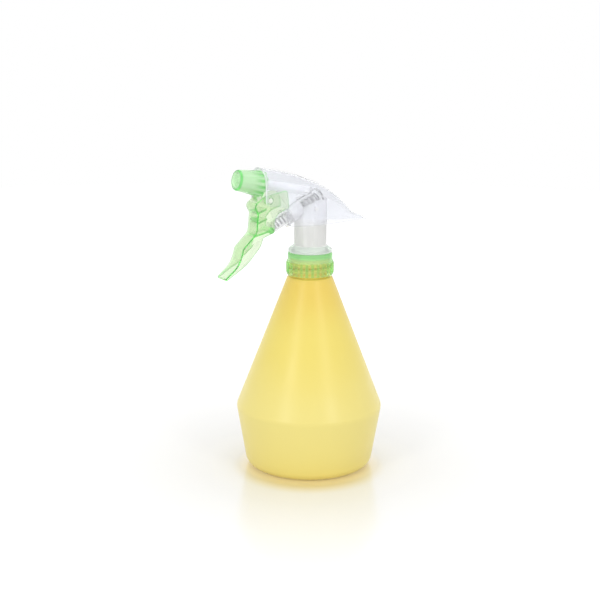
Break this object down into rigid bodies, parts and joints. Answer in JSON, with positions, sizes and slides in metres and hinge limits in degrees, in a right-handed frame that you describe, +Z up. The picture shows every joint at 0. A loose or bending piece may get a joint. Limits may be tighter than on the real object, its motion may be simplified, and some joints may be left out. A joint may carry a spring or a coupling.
{
  "type": "hand mister",
  "caption": "Hand mister: a flared translucent bottle with a screw-on trigger head that pumps liquid up a dip tube and sprays it from a turning nozzle.",
  "frame": {"origin": "centre of the base, on the plane that the bottle stands on", "axes": "+Z up along the bottle's axis, the nozzle points along -X, Y is across the head's plane of symmetry"},
  "size_m": [0.1195, 0.1016, 0.2121],
  "materials": {
    "bottle_plastic": "translucent, semi-gloss",
    "collar_plastic": "translucent, gloss",
    "mint_plastic": "translucent, gloss",
    "clear_plastic": "clear, gloss",
    "milky_plastic": "milky, semi-gloss",
    "tube_plastic": "milky, semi-gloss",
    "seal_rubber": "matt",
    "ball_steel": "polished",
    "spring_steel": "drawn wire"
  },
  "bodies": {
    "bottle": {"bottle": "bottle_plastic"},
    "head": {"pump_body": "milky_plastic", "shroud": "clear_plastic", "neck_plug": "milky_plastic", "neck_gasket": "seal_rubber", "dip_tube": "tube_plastic", "swirl_plug": "milky_plastic", "return_spring": "spring_steel"},
    "screw_collar": {"screw_collar": "collar_plastic"},
    "trigger": {"trigger": "mint_plastic"},
    "piston": {"piston": "milky_plastic", "piston_cup": "seal_rubber"},
    "nozzle_seal": {"nozzle_seal": "seal_rubber"},
    "nozzle_cap": {"nozzle_cap": "mint_plastic"},
    "inlet_ball": {"inlet_ball": "ball_steel"},
    "outlet_ball": {"outlet_ball": "ball_steel"}
  },
  "joints": [
    {"name": "head_lift", "type": "slide", "parent": "bottle", "child": "head", "axis": [0, 0, 1], "range_m": [0, 0.0064]},
    {"name": "collar_turn", "type": "hinge", "parent": "head", "child": "screw_collar", "pos_m": [0, 0, 0.142], "axis": [0, 0, 1], "range_deg": [0, 540]},
    {"name": "trigger_pull", "type": "hinge", "parent": "head", "child": "trigger", "pos_m": [-0.0374, 0, 0.1909], "axis": [0, -1, 0], "range_deg": [0, 19], "stiffness_Nm_per_rad": 0.65, "springref_deg": -22},
    {"name": "piston_slide", "type": "slide", "parent": "head", "child": "piston", "axis": [0.891, 0, 0.454], "range_m": [0, 0.007], "deforming": ["return_spring"]},
    {"name": "nozzle_advance", "type": "slide", "parent": "head", "child": "nozzle_seal", "axis": [-0.9833, 0, 0.1822], "range_m": [0, 0.00362]},
    {"name": "nozzle_turn", "type": "hinge", "parent": "nozzle_seal", "child": "nozzle_cap", "pos_m": [-0.0385, 0, 0.2011], "axis": [-0.9833, 0, 0.1822], "range_deg": [0, 540]},
    {"name": "inlet_ball_lift", "type": "slide", "parent": "head", "child": "inlet_ball", "axis": [0, 0, 1], "range_m": [0, 0.0012]},
    {"name": "outlet_ball_lift", "type": "slide", "parent": "head", "child": "outlet_ball", "axis": [-0.9833, 0, 0.1822], "range_m": [0, 0.0012]}
  ],
  "couplings": [
    {"joint": "head_lift", "follows": "collar_turn", "m_per_rad": 0.00067367},
    {"joint": "piston_slide", "follows": "trigger_pull", "m_per_rad": 0.02084},
    {"joint": "nozzle_advance", "follows": "nozzle_turn", "m_per_rad": 0.00038197}
  ]
}
